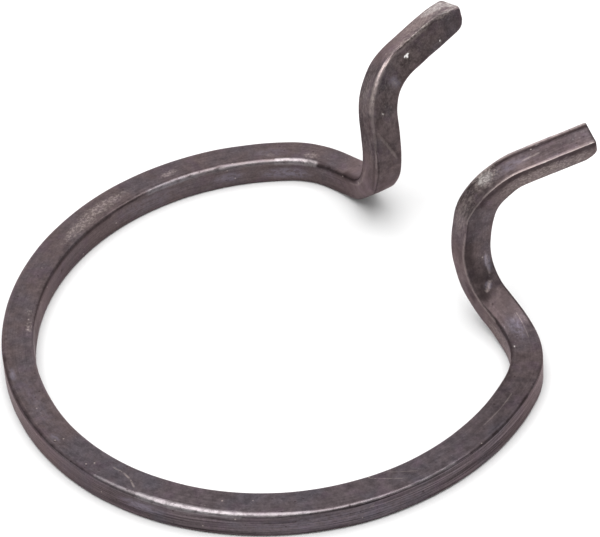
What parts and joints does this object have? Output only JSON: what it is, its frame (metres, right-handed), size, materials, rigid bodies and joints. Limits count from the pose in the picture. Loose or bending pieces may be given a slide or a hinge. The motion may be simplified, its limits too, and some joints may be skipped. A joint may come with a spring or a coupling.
{
  "type": "snap ring",
  "caption": "Internal snap ring bent from rectangular spring wire, an open circle whose ends curl in, rise and turn out as finger tabs.",
  "frame": {"origin": "on the ring's axis, in the plane of its underside", "axes": "+Z along the ring's axis, to the side where its tabs stand up; +X towards the middle of its gap; the left end is on the +Y side and the right end on the -Y side"},
  "size_m": [0.0859, 0.08, 0.0304],
  "materials": {
    "spring_steel": "blackened, satin"
  },
  "bodies": {
    "root": {"snap_ring": "spring_steel"}
  },
  "joints": []
}
